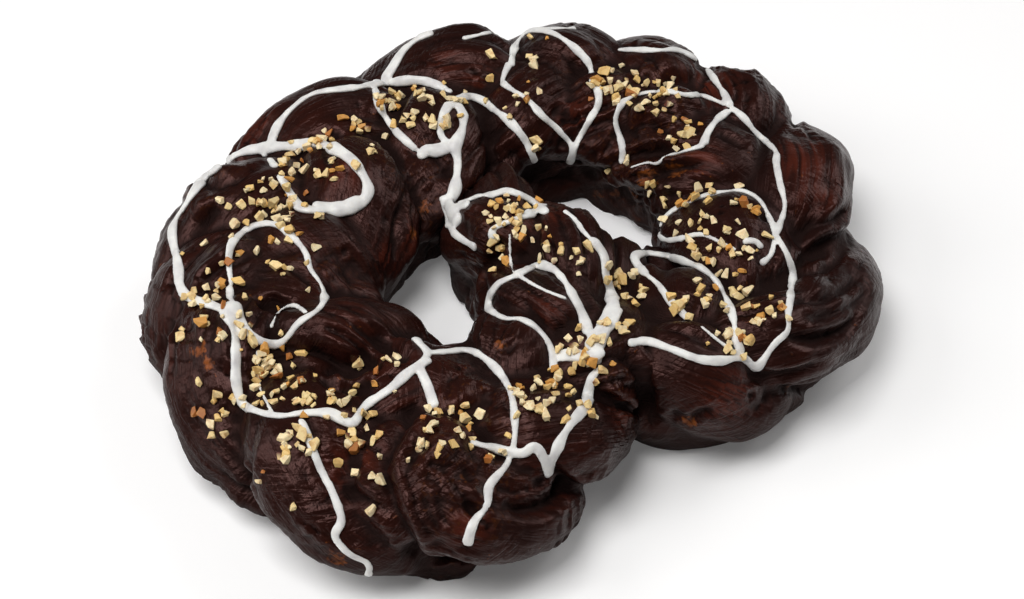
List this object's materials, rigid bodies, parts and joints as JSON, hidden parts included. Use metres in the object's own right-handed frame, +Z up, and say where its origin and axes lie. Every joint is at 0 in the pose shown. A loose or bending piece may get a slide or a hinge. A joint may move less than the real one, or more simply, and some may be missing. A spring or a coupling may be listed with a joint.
{
  "type": "kringle",
  "caption": "Pretzel-shaped plaited sweet bread with dark chocolate glaze, icing drizzle and chopped nuts; rests flat.",
  "frame": {"origin": "middle of the footprint's box, on the flat underside", "axes": "+X across both lobes (the longest way), +Y from the cleft between the lobes to the far side of the ring, +Z up"},
  "size_m": [0.3288, 0.2868, 0.0666],
  "materials": {
    "chocolate": "satin dark chocolate glaze with white icing and pale nuts"
  },
  "bodies": {
    "root": {"kringle": "chocolate"}
  },
  "joints": []
}
